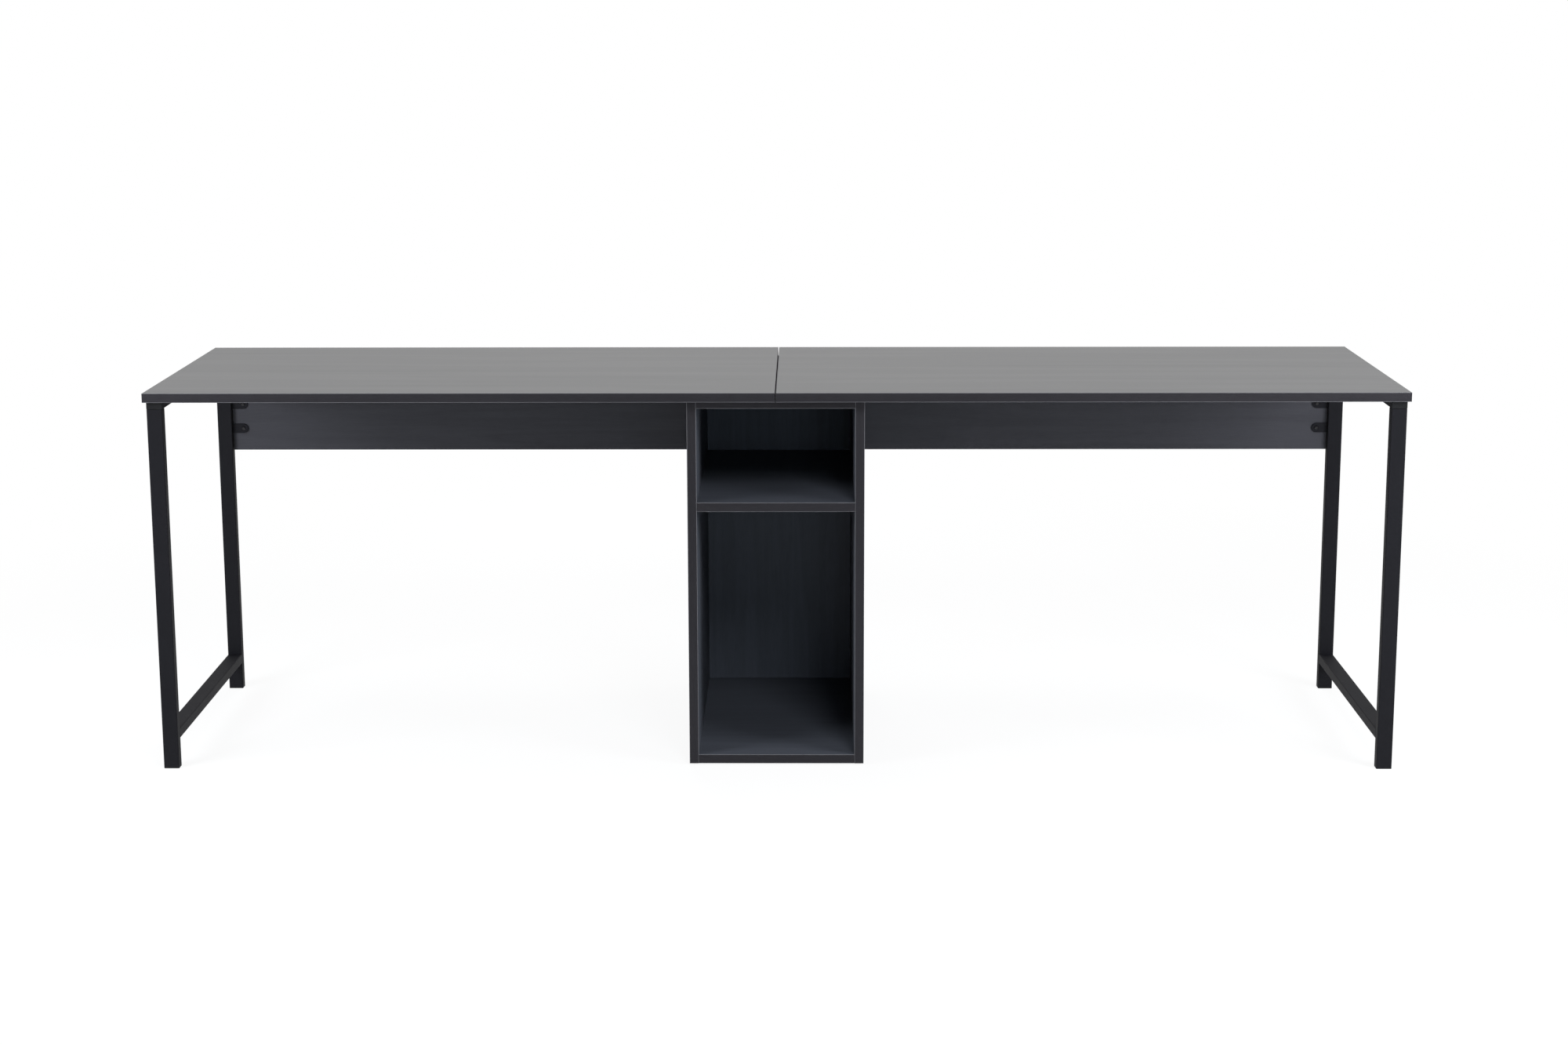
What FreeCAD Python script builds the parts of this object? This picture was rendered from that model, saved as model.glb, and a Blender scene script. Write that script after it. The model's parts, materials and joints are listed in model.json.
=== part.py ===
"""Double desk: two worktops over one shared shelf unit, on welded tube end frames.

Millimetres. X runs along the desk, Y towards its back, Z up. The origin is on the floor,
under the middle of the desk. Each piece is written to parts/NAME.step.
"""

import FreeCAD
import Part
import os
from FreeCAD import Vector

# Overall sizes
desk_width = 2400.0
desk_depth = 600.0
desk_height = 743.0
worktop_gap = 2.0

# Boards and their glued edging
board = 18.0
edging = 1.0
edging_round = 0.8

# End frames: rectangular steel tube
tube_width = 30.0
leg_depth = 20.0
top_rail_height = 15.0
bottom_rail_height = 20.0
bottom_rail_floor_gap = 56.0
tube_wall = 1.2
tube_corner = 2.0
frame_side_inset = 5.0
frame_end_inset = 10.0

# Plastic plugs in the tube ends
foot_flange = 3.0
rail_flange = 2.0
plug_rim = 1.0
plug_depth = 16.0
plug_core_gap = 3.0
plug_fin = 1.2
plug_fin_pitch = 5.0
plug_fin_count = 3
plug_fit_gap = 0.1

# Shelf unit between the two desks
unit_width = 340.0
unit_front_setback = 35.0
upper_bay_height = 183.0
glide_height = 3.0
glide_diameter = 18.0
glide_rim = 1.0
glide_nail_diameter = 2.4
glide_nail_length = 14.0
glide_end_inset = 40.0

# Back panels under the worktops, and the tabs that hold them
panel_height = 200.0
panel_leg_gap = 1.0
tab_length = 33.0
tab_width = 20.0
tab_thickness = 3.0
lower_tab_height = 47.0
tab_pitch = 52.0

# Cam fittings
cam_diameter = 15.0
cam_depth = 12.5
cam_distance = 24.0
cam_slot_length = 9.0
cam_slot_width = 1.8
cam_slot_depth = 2.0
cam_sunk = 0.3
bolt_thread_diameter = 5.8
bolt_thread_length = 11.0
bolt_neck_diameter = 4.6
bolt_head_diameter = 7.0
bolt_head_length = 4.0
bolt_hole_diameter = 8.0

# Wooden dowels
dowel_diameter = 8.0
dowel_in_face = 10.0
dowel_in_edge = 20.0
dowel_cam_pitch = 32.0

# Pan head screws
screw_shank_diameter = 4.0
screw_head_diameter = 7.6
screw_head_height = 2.4
screw_head_rim = 1.0
screw_point = 4.0
screw_recess_length = 4.4
screw_recess_width = 1.0
screw_recess_depth = 1.4
screw_hole_gap = 0.3
worktop_bite = 13.0
panel_bite = 14.0
driver_hole_diameter = 10.0
rail_screw_count = 3
rail_screw_inset = 70.0
unit_screw_count = 3
unit_screw_inset = 60.0
unit_screw_seam_distance = 85.0

fit_gap = 0.1
shelf_cam_inset = 60.0
back_cam_inset = 90.0
back_cam_count = 3
panel_cam_inset = 40.0
panel_top_cam_inset = 150.0
hole_overrun = 2.0

# Places worked out from the sizes above
front_y = -desk_depth / 2
back_y = desk_depth / 2
worktop_under = desk_height - board
worktop_outer_x = -desk_width / 2
worktop_seam_x = -worktop_gap / 2

frame_outer_x = worktop_outer_x + frame_side_inset
frame_inner_x = frame_outer_x + tube_width
frame_mid_x = frame_outer_x + tube_width / 2
frame_front_y = front_y + frame_end_inset
frame_back_y = back_y - frame_end_inset
top_rail_under = worktop_under - top_rail_height

unit_side_x = -unit_width / 2
unit_inside_x = unit_side_x + board
unit_front_y = front_y + unit_front_setback
unit_back_front_y = back_y - board
unit_floor_z = glide_height
unit_top_under = worktop_under - board
shelf_top_z = unit_top_under - upper_bay_height
unit_bottom_top_z = unit_floor_z + board

panel_front_y = back_y - board
panel_under = worktop_under - panel_height
panel_leg_x = frame_inner_x + panel_leg_gap
tab_front_y = panel_front_y - tab_thickness
tab_heights = [panel_under + lower_tab_height + i * tab_pitch for i in range(2)]
tab_screw_x = frame_inner_x + tab_length - tab_width / 2

X = Vector(1, 0, 0)
Y = Vector(0, 1, 0)
Z = Vector(0, 0, 1)


def box(low, high):
    """A block between two opposite corners."""
    size = Vector(*high) - Vector(*low)
    return Part.makeBox(size.x, size.y, size.z, Vector(*low))


def rod(diameter, start, direction, length):
    """A round bar from start along a direction."""
    return Part.makeCylinder(diameter / 2, length, start, direction)


def drilled(shape, cutters):
    """The shape with every cutter taken out of it."""
    return shape.cut(cutters) if cutters else shape


def mirrored(shape):
    """The same piece on the other half of the desk."""
    return shape.mirror(Vector(0, 0, 0), X)


def both(shapes):
    """The pieces of one half followed by those of the other."""
    return list(shapes) + [mirrored(shape) for shape in shapes]


def spread(low, high, count):
    """Evenly spaced places from low to high."""
    return [low + (high - low) * i / (count - 1) for i in range(count)]


def placed(shape, origin, along, facing):
    """A shape drawn about its own origin, turned so that its X runs along and its Z faces out."""
    turn = FreeCAD.Rotation(along, facing.cross(along), facing, "XZY")
    moved = shape.copy()
    moved.Placement = FreeCAD.Placement(origin, turn).multiply(shape.Placement)
    return moved


def rounded_rectangle(width, height, radius):
    """A wire of straight sides and quarter circles, centred on the origin in XY."""
    half_x, half_y = width / 2, height / 2
    in_x, in_y = half_x - radius, half_y - radius
    diagonal = radius * 0.5 ** 0.5
    edges = []
    for quarter, (a, b, c, d) in enumerate(
        [(half_x, in_x, half_y, in_y), (half_y, in_y, half_x, in_x)] * 2
    ):
        turn = FreeCAD.Rotation(Z, 90 * quarter)
        side_end = turn.multVec(Vector(a, d, 0))
        middle = turn.multVec(Vector(b + diagonal, d + diagonal, 0))
        arc_end = turn.multVec(Vector(b, c, 0))
        side_start = turn.multVec(Vector(a, -d, 0))
        edges.append(Part.makeLine(side_start, side_end))
        edges.append(Part.Arc(side_end, middle, arc_end).toShape())
    return Part.Wire(edges)


def tube(width, height, length):
    """A rectangular tube along +Z, with rounded corners inside and out."""
    inner_corner = max(tube_corner - tube_wall, tube_wall / 4)
    outer = rounded_rectangle(width, height, tube_corner)
    inner = rounded_rectangle(width - 2 * tube_wall, height - 2 * tube_wall, inner_corner)
    bar = Part.Face(outer).extrude(Vector(0, 0, length))
    return bar.cut(Part.Face(inner).extrude(Vector(0, 0, length)))


def strip(low, high, outward, along):
    """An edging strip with its two long outer corners rounded."""
    block = box(low, high)
    reach = max(vertex.Point.dot(outward) for vertex in block.Vertexes)
    outer = [
        edge
        for edge in block.Edges
        if abs(edge.tangentAt(edge.FirstParameter).dot(along)) > 0.9
        and all(abs(v.Point.dot(outward) - reach) < fit_gap / 100 for v in edge.Vertexes)
    ]
    return block.makeFillet(min(edging_round, edging * 0.9), outer)


# Fasteners, each drawn about its own origin


def screw(length):
    """A pan head screw along +X with its head's seat at the origin."""
    shank = screw_shank_diameter / 2
    head = screw_head_diameter / 2
    crown = screw_head_height
    profile = [
        Part.makeLine(Vector(length, 0, 0), Vector(length - screw_point, shank, 0)),
        Part.makeLine(Vector(length - screw_point, shank, 0), Vector(0, shank, 0)),
        Part.makeLine(Vector(0, shank, 0), Vector(0, head, 0)),
        Part.makeLine(Vector(0, head, 0), Vector(screw_head_rim - crown, head, 0)),
        Part.makeLine(Vector(screw_head_rim - crown, head, 0), Vector(-crown, head - screw_head_rim, 0)),
        Part.makeLine(Vector(-crown, head - screw_head_rim, 0), Vector(-crown, 0, 0)),
        Part.makeLine(Vector(-crown, 0, 0), Vector(length, 0, 0)),
    ]
    body = Part.Face(Part.Wire(profile)).revolve(Vector(0, 0, 0), X, 360)
    recess = []
    for across, up in ((screw_recess_length, screw_recess_width), (screw_recess_width, screw_recess_length)):
        recess.append(
            box(
                (-crown - fit_gap, -across / 2, -up / 2),
                (-crown + screw_recess_depth, across / 2, up / 2),
            )
        )
    return body.cut(recess)


def cam():
    """A round cam housing about the joint's origin: the bolt comes in along +X, the slot faces +Z."""
    face = board / 2 - cam_sunk
    housing = rod(cam_diameter, Vector(cam_distance, 0, face - cam_depth), Z, cam_depth)
    head_room = bolt_head_diameter + 4 * fit_gap
    throat = box(
        (cam_distance - cam_diameter, -head_room / 2, -head_room / 2),
        (cam_distance + bolt_head_length, head_room / 2, head_room / 2),
    )
    slots = []
    for across, along in ((cam_slot_length, cam_slot_width), (cam_slot_width, cam_slot_length)):
        slots.append(
            box(
                (cam_distance - across / 2, -along / 2, face - cam_slot_depth),
                (cam_distance + across / 2, along / 2, face + fit_gap),
            )
        )
    return housing.cut([throat] + slots)


def cam_bolt():
    """A connecting bolt along +X: thread in the mating board, head in the cam."""
    head_start = cam_distance - bolt_head_length / 2
    steps = [
        (-bolt_thread_length, bolt_thread_diameter),
        (0, bolt_neck_diameter),
        (head_start, bolt_head_diameter),
        (head_start + bolt_head_length, 0),
    ]
    body = None
    for (start, diameter), (end, _) in zip(steps, steps[1:]):
        section = rod(diameter, Vector(start, 0, 0), X, end - start)
        body = section if body is None else body.fuse(section)
    return body.removeSplitter()


def dowel():
    """A wooden dowel along X."""
    return rod(dowel_diameter, Vector(-dowel_in_face, 0, 0), X, dowel_in_face + dowel_in_edge)


CAM = cam()
CAM_BOLT = cam_bolt()
DOWEL = dowel()


def cam_holes():
    """What a cam fitting takes out of the board that holds the cam, and out of its mate."""
    floor = board / 2 - cam_sunk - cam_depth - fit_gap
    seat = rod(
        cam_diameter + 2 * fit_gap, Vector(cam_distance, 0, floor), Z, board / 2 - floor + hole_overrun
    )
    way = rod(bolt_hole_diameter, Vector(-fit_gap, 0, 0), X, cam_distance)
    pilot = rod(
        bolt_thread_diameter + 2 * fit_gap,
        Vector(-bolt_thread_length - fit_gap, 0, 0),
        X,
        bolt_thread_length + 2 * fit_gap,
    )
    return [seat, way], [pilot]


def dowel_hole():
    """The blind hole through both boards that a dowel sits in."""
    return rod(
        dowel_diameter + 2 * fit_gap,
        Vector(-dowel_in_face - fit_gap, 0, 0),
        X,
        dowel_in_face + dowel_in_edge + 2 * fit_gap,
    )


CAM_SEAT, CAM_PILOT = cam_holes()
DOWEL_HOLE = dowel_hole()


class Joint:
    """Cam fittings and dowels along one edge of a board, with the holes they need."""

    def __init__(self, cam_points, dowel_points, into_board, cam_face):
        def laid(shape, points):
            return [placed(shape, point, into_board, cam_face) for point in points]

        self.cams = laid(CAM, cam_points)
        self.bolts = laid(CAM_BOLT, cam_points)
        self.dowels = laid(DOWEL, dowel_points)
        dowel_cuts = laid(DOWEL_HOLE, dowel_points)
        self.board_cuts = [c for hole in CAM_SEAT for c in laid(hole, cam_points)] + dowel_cuts
        self.mate_cuts = laid(CAM_PILOT[0], cam_points) + dowel_cuts


# Where the boards of the left half join


def depth_places():
    """Cam and dowel places along the depth of a shelf."""
    cams = spread(unit_front_y + shelf_cam_inset, unit_back_front_y - shelf_cam_inset, 2)
    dowels = [cams[0] + dowel_cam_pitch, cams[1] - dowel_cam_pitch]
    return cams, dowels


def shelf_joint(top_z, cam_face):
    """The left end of a level board against the left side of the shelf unit."""
    cams, dowels = depth_places()
    middle = top_z - board / 2
    at = lambda y: Vector(unit_inside_x, y, middle)
    return Joint([at(y) for y in cams], [at(y) for y in dowels], X, cam_face)


def back_joint():
    """The left edge of the unit's back against the left side."""
    places = spread(unit_floor_z + back_cam_inset, worktop_under - back_cam_inset, back_cam_count)
    at = lambda z: Vector(unit_inside_x, back_y - board / 2, z)
    return Joint([at(z) for z in places], [at(z + dowel_cam_pitch) for z in places], X, Y)


def panel_end_joint():
    """The inner end of the left back panel against the shelf unit's left side."""
    places = spread(panel_under + panel_cam_inset, worktop_under - panel_cam_inset, 2)
    middle = (places[0] + places[1]) / 2
    at = lambda z: Vector(unit_side_x, back_y - board / 2, z)
    return Joint([at(z) for z in places], [at(middle)], -X, Y)


def panel_top_joint():
    """The top edge of the left back panel against the underside of its worktop."""
    places = spread(panel_leg_x + panel_top_cam_inset, unit_side_x - panel_top_cam_inset, 2)
    dowels = [places[0] + dowel_cam_pitch, places[1] - dowel_cam_pitch]
    at = lambda x: Vector(x, back_y - board / 2, worktop_under)
    return Joint([at(x) for x in places], [at(x) for x in dowels], -Z, Y)


top_joint = shelf_joint(worktop_under, Z)
mid_joint = shelf_joint(shelf_top_z, -Z)
low_joint = shelf_joint(unit_bottom_top_z, -Z)
rear_joint = back_joint()
panel_end = panel_end_joint()
panel_top = panel_top_joint()

# Screws of the left half
rail_screw_places = [
    Vector(frame_mid_x, y, worktop_under - tube_wall)
    for y in spread(frame_front_y + rail_screw_inset, frame_back_y - rail_screw_inset, rail_screw_count)
]
tab_screw_places = [Vector(tab_screw_x, tab_front_y, z) for z in tab_heights]
unit_screw_places = [
    Vector(-unit_screw_seam_distance, y, unit_top_under)
    for y in spread(unit_front_y + unit_screw_inset, unit_back_front_y - unit_screw_inset, unit_screw_count)
]


def screw_hole(place, direction, depth):
    """A clearance hole along a screw, starting a little behind its head's seat."""
    hole = screw_shank_diameter + 2 * screw_hole_gap
    return rod(hole, place - direction * hole_overrun, direction, depth + hole_overrun)


def pilot_hole(place, direction, depth):
    """The hole that a screw's shank fills."""
    return rod(screw_shank_diameter + 2 * fit_gap, place, direction, depth + fit_gap)


def screws(places, direction, facing, length):
    """A row of equal screws."""
    return [placed(screw(length), place, direction, facing) for place in places]


# Worktop


def worktop():
    """The left worktop's board, drilled from below for the frame, the unit and the back panel."""
    cuts = [pilot_hole(p, Z, tube_wall + worktop_bite) for p in rail_screw_places]
    cuts += [pilot_hole(p, Z, board + worktop_bite) for p in unit_screw_places]
    core = box(
        (worktop_outer_x + edging, front_y + edging, worktop_under),
        (worktop_seam_x - edging, back_y - edging, desk_height),
    )
    return drilled(core, cuts + panel_top.mate_cuts)


def worktop_edging():
    """Four strips round the left worktop: the long ones run past the short ones."""
    low_x, high_x = worktop_outer_x, worktop_seam_x
    low_y, high_y = front_y + edging, back_y - edging
    under, top = worktop_under, desk_height
    return [
        strip((low_x, front_y, under), (high_x, low_y, top), -Y, X),
        strip((low_x, high_y, under), (high_x, back_y, top), Y, X),
        strip((low_x, low_y, under), (low_x + edging, high_y, top), -X, Y),
        strip((high_x - edging, low_y, under), (high_x, high_y, top), X, Y),
    ]


# End frame


def leg(y_middle):
    """An upright from the foot plug to the underside of the top rail."""
    upright = tube(tube_width, leg_depth, top_rail_under - foot_flange)
    return upright.translated(Vector(frame_mid_x, y_middle, foot_flange))


def rail(height, start_y, end_y, middle_z):
    """A level tube along Y."""
    length = end_y - start_y
    return placed(tube(height, tube_width, length), Vector(frame_mid_x, start_y, middle_z), Z, Y)


def top_rail():
    """The rail under the worktop, drilled for its screws and for the driver below them."""
    middle = worktop_under - top_rail_height / 2
    cuts = []
    for place in rail_screw_places:
        cuts.append(screw_hole(place, Z, tube_wall + hole_overrun))
        cuts.append(rod(driver_hole_diameter, place - Z * top_rail_height, Z, top_rail_height / 2))
    bare = rail(top_rail_height, frame_front_y + rail_flange, frame_back_y - rail_flange, middle)
    return drilled(bare, cuts)


def plug(width, height, flange):
    """A tube plug along +Z: flange below the origin, finned core above it."""
    cap = Part.Face(rounded_rectangle(width, height, tube_corner)).extrude(Vector(0, 0, -flange))
    rim = [e for e in cap.Edges if all(abs(v.Z + flange) < fit_gap / 100 for v in e.Vertexes)]
    cap = cap.makeChamfer(min(plug_rim, flange * 0.45), rim)
    bore_x = width - 2 * (tube_wall + plug_fit_gap)
    bore_y = height - 2 * (tube_wall + plug_fit_gap)
    core_x, core_y = bore_x - 2 * plug_core_gap, bore_y - 2 * plug_core_gap
    core = box((-core_x / 2, -core_y / 2, -flange / 2), (core_x / 2, core_y / 2, plug_depth))
    body = cap.fuse(core)
    for i in range(plug_fin_count):
        fin = Part.Face(rounded_rectangle(bore_x, bore_y, tube_wall)).extrude(Vector(0, 0, plug_fin))
        body = body.fuse(fin.translated(Vector(0, 0, plug_fin + i * plug_fin_pitch)))
    return body.removeSplitter()


def foot_plugs():
    """The feet of both legs of the left frame."""
    foot = plug(tube_width, leg_depth, foot_flange)
    return [foot.translated(Vector(frame_mid_x, y, foot_flange)) for y in leg_middles]


def rail_plugs():
    """The plugs in both ends of the left top rail."""
    end = plug(top_rail_height, tube_width, rail_flange)
    middle = worktop_under - top_rail_height / 2
    front = placed(end, Vector(frame_mid_x, frame_front_y + rail_flange, middle), Z, Y)
    rear = placed(end, Vector(frame_mid_x, frame_back_y - rail_flange, middle), Z, -Y)
    return [front, rear]


def tabs():
    """Flat tabs with a round end, welded to the rear leg's inner face."""
    made = []
    for height, place in zip(tab_heights, tab_screw_places):
        straight = box(
            (frame_inner_x, tab_front_y, height - tab_width / 2),
            (tab_screw_x, panel_front_y, height + tab_width / 2),
        )
        end = rod(tab_width, Vector(tab_screw_x, tab_front_y, height), Y, tab_thickness)
        plate = straight.fuse(end).removeSplitter()
        made.append(plate.cut(screw_hole(place, Y, tab_thickness + hole_overrun)))
    return made


leg_middles = [frame_front_y + leg_depth / 2, frame_back_y - leg_depth / 2]


# Back panel


def back_panel():
    """The left back panel, drilled for its cams and tab screws."""
    cuts = [pilot_hole(p, Y, tab_thickness + panel_bite) for p in tab_screw_places]
    core = box(
        (panel_leg_x + edging, panel_front_y, panel_under + edging), (unit_side_x, back_y, worktop_under)
    )
    return drilled(core, cuts + panel_end.board_cuts + panel_top.board_cuts)


def back_panel_edging():
    """Strips on the lower edge and the leg end of the left back panel."""
    return [
        strip(
            (panel_leg_x, panel_front_y, panel_under),
            (unit_side_x, back_y, panel_under + edging),
            -Z,
            X,
        ),
        strip(
            (panel_leg_x, panel_front_y, panel_under + edging),
            (panel_leg_x + edging, back_y, worktop_under),
            -X,
            Z,
        ),
    ]


# Shelf unit


def unit_side():
    """The unit's left side, drilled for every board that meets it."""
    core = box(
        (unit_side_x, unit_front_y + edging, unit_floor_z + edging),
        (unit_inside_x, back_y - edging, worktop_under),
    )
    cuts = top_joint.mate_cuts + mid_joint.mate_cuts + low_joint.mate_cuts
    nails = [
        rod(glide_nail_diameter + 2 * fit_gap, Vector(x, y, 0), Z, glide_height + glide_nail_length + fit_gap)
        for x, y in glide_places
    ]
    return drilled(core, cuts + rear_joint.mate_cuts + panel_end.mate_cuts + nails)


def level_board(top_z, joint, extra=()):
    """A top, shelf or bottom between the two sides."""
    core = box(
        (unit_inside_x, unit_front_y + edging, top_z - board), (-unit_inside_x, unit_back_front_y, top_z)
    )
    return drilled(core, both(joint.board_cuts) + list(extra))


def unit_top():
    """The unit's top, with clearance holes for the screws up into the worktops."""
    holes = [screw_hole(p, Z, board + hole_overrun) for p in unit_screw_places]
    return level_board(worktop_under, top_joint, both(holes))


def unit_back():
    """The unit's full-height back between its sides."""
    core = box((unit_inside_x, unit_back_front_y, unit_floor_z), (-unit_inside_x, back_y, worktop_under))
    return drilled(core, both(rear_joint.board_cuts))


def unit_side_edging():
    """Strips on the front, back and lower edges of the unit's left side."""
    low_x, high_x = unit_side_x, unit_inside_x
    front, back, low = unit_front_y, back_y, unit_floor_z
    bottom = strip((low_x, front, low), (high_x, back, low + edging), -Z, Y)
    nails = [rod(glide_nail_diameter + 2 * fit_gap, Vector(x, y, 0), Z, board) for x, y in glide_places]
    return [
        strip((low_x, front, low + edging), (high_x, front + edging, worktop_under), -Y, Z),
        strip((low_x, back - edging, low + edging), (high_x, back, worktop_under), Y, Z),
        bottom.cut(nails),
    ]


def level_edging():
    """Front strips of the unit's top, shelf and bottom."""
    return [
        strip(
            (unit_inside_x, unit_front_y, top_z - board),
            (-unit_inside_x, unit_front_y + edging, top_z),
            -Y,
            X,
        )
        for top_z in (worktop_under, shelf_top_z, unit_bottom_top_z)
    ]


glide_places = [
    (unit_side_x + board / 2, y) for y in (unit_front_y + glide_end_inset, back_y - glide_end_inset)
]


def glide(x, y):
    """A nail-on glide under a side of the unit, at one place."""
    pad = rod(glide_diameter, Vector(x, y, 0), Z, glide_height)
    rim = [e for e in pad.Edges if e.Closed and abs(e.Vertexes[0].Z) < fit_gap / 100]
    pad = pad.makeChamfer(min(glide_rim, glide_height / 2), rim)
    nail = rod(glide_nail_diameter, Vector(x, y, glide_height / 2), Z, glide_height / 2 + glide_nail_length)
    return pad.fuse(nail).removeSplitter()


def pair(name, shape):
    """The left piece and its mirror image, under their two names."""
    return {f"left_{name}": [shape], f"right_{name}": [mirrored(shape)]}


def pair_group(name, shapes):
    """A group of separate pieces on the left and its mirror image on the right."""
    return {f"left_{name}": shapes, f"right_{name}": [mirrored(shape) for shape in shapes]}


def pieces():
    """Every node of the desk by name, each a list of separate solids."""
    unit_joints = [top_joint, mid_joint, low_joint, rear_joint]
    panel_joints = [panel_end, panel_top]
    bottom_rail_middle = bottom_rail_floor_gap + bottom_rail_height / 2
    rail_start, rail_end = frame_front_y + leg_depth, frame_back_y - leg_depth
    made = {}
    made.update(pair("worktop", worktop()))
    made.update(pair_group("worktop_edging", worktop_edging()))
    made.update(pair("front_leg", leg(leg_middles[0])))
    made.update(pair("rear_leg", leg(leg_middles[1])))
    made.update(pair("top_rail", top_rail()))
    made.update(pair("bottom_rail", rail(bottom_rail_height, rail_start, rail_end, bottom_rail_middle)))
    made.update(pair_group("foot_plugs", foot_plugs()))
    made.update(pair_group("top_rail_plugs", rail_plugs()))
    made.update(pair_group("panel_tabs", tabs()))
    made.update(pair("back_panel", back_panel()))
    made.update(pair_group("back_panel_edging", back_panel_edging()))
    made.update(pair_group("back_panel_cams", [c for j in panel_joints for c in j.cams]))
    made.update(pair_group("back_panel_cam_bolts", [b for j in panel_joints for b in j.bolts]))
    made.update(pair_group("back_panel_dowels", [d for j in panel_joints for d in j.dowels]))
    made.update(pair_group("top_rail_screws", screws(rail_screw_places, Z, X, tube_wall + worktop_bite)))
    made.update(pair_group("tab_screws", screws(tab_screw_places, Y, Z, tab_thickness + panel_bite)))
    made.update(pair("unit_side", unit_side()))
    made.update(pair_group("unit_side_edging", unit_side_edging()))
    made["unit_top"] = [unit_top()]
    made["unit_shelf"] = [level_board(shelf_top_z, mid_joint)]
    made["unit_bottom"] = [level_board(unit_bottom_top_z, low_joint)]
    made["unit_back"] = [unit_back()]
    made["unit_level_edging"] = level_edging()
    made["unit_cams"] = both([c for j in unit_joints for c in j.cams])
    made["unit_cam_bolts"] = both([b for j in unit_joints for b in j.bolts])
    made["unit_dowels"] = both([d for j in unit_joints for d in j.dowels])
    made["unit_to_worktop_screws"] = both(screws(unit_screw_places, Z, X, board + worktop_bite))
    made["unit_glides"] = both([glide(x, y) for x, y in glide_places])
    return made


os.makedirs("parts", exist_ok=True)
for name, solids in pieces().items():
    for solid in solids:
        if not solid.isValid() or solid.Volume <= 0:
            raise ValueError(f"{name} is not a sound solid")
    shape = solids[0] if len(solids) == 1 else Part.makeCompound(solids)
    shape.exportStep(f"parts/{name}.step")
    print(name, len(shape.Solids), round(shape.Volume))
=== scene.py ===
"""Looks of a double desk: dark grey boards on black steel end frames, in a plain white studio."""

import json
import logging
import math
from dataclasses import dataclass, replace
from enum import Enum
from typing import Callable

import bmesh
import bpy
from bmesh.types import BMEdge, BMesh, BMFace, BMVert
from bpy.types import Material, Node, NodeSocket, NodeTree, Object
from mathutils import Matrix, Vector

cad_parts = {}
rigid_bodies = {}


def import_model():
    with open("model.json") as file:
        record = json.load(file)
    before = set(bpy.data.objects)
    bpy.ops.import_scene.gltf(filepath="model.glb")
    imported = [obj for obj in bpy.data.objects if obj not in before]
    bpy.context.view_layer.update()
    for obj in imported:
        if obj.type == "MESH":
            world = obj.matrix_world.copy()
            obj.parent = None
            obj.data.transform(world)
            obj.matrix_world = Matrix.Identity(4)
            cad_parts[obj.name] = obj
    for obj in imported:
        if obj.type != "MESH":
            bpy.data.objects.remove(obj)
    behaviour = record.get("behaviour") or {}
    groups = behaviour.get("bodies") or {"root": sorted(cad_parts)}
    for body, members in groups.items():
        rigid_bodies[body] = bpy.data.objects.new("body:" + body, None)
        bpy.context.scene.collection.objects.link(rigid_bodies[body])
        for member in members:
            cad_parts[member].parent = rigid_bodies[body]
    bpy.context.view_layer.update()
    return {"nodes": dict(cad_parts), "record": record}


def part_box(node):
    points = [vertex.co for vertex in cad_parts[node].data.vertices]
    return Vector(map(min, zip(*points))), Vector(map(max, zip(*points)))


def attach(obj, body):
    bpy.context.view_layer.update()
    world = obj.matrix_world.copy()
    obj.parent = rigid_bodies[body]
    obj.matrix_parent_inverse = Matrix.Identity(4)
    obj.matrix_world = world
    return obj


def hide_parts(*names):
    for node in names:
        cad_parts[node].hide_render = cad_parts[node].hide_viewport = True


STARTING_OBJECTS = list(bpy.data.objects)
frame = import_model()

BODY = "root"
LOG = logging.getLogger("double_desk")


class Side(Enum):
    """Which half of the desk a piece belongs to."""

    LEFT = "left"
    RIGHT = "right"

    @property
    def outward(self) -> int:
        """The sign of X towards this side's end of the desk."""
        return -1 if self is Side.LEFT else 1


class Axis(Enum):
    """A direction of the desk, as an index into a point."""

    WIDTH = 0
    DEPTH = 1
    HEIGHT = 2


class Slot(Enum):
    """The record's material slots."""

    BOARD = "grey_board"
    EDGING = "board_edging"
    STEEL = "frame_steel"
    PLASTIC = "black_plastic"
    ZINC = "zinc_steel"
    DOWEL = "dowel_wood"


class Look(Enum):
    """The finishes that the pieces wear."""

    WORKTOP = "satin_worktop"
    BOARD = "level_grained_board"
    UNIT_LEVEL = "level_grained_unit_board"
    UNIT_UPRIGHT = "upright_grained_unit_board"
    EDGING = "level_edging"
    UPRIGHT_EDGING = "upright_edging"
    STEEL = "black_powder_coat"
    PLASTIC = "black_moulded_plastic"
    ZINC = "zinc_plate"
    BLACK_SCREW = "black_oxide"
    DOWEL = "bare_beech"


LOOK_OF_SLOT: dict[Slot, Look] = {
    Slot.BOARD: Look.BOARD,
    Slot.EDGING: Look.EDGING,
    Slot.STEEL: Look.STEEL,
    Slot.PLASTIC: Look.PLASTIC,
    Slot.ZINC: Look.ZINC,
    Slot.DOWEL: Look.DOWEL,
}
LOOK_OF_NODE: dict[str, Look] = {
    "left_worktop": Look.WORKTOP,
    "right_worktop": Look.WORKTOP,
    "left_unit_side": Look.UNIT_UPRIGHT,
    "right_unit_side": Look.UNIT_UPRIGHT,
    "unit_back": Look.UNIT_UPRIGHT,
    "unit_top": Look.UNIT_LEVEL,
    "unit_shelf": Look.UNIT_LEVEL,
    "unit_bottom": Look.UNIT_LEVEL,
    "left_tab_screws": Look.BLACK_SCREW,
    "right_tab_screws": Look.BLACK_SCREW,
}
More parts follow.
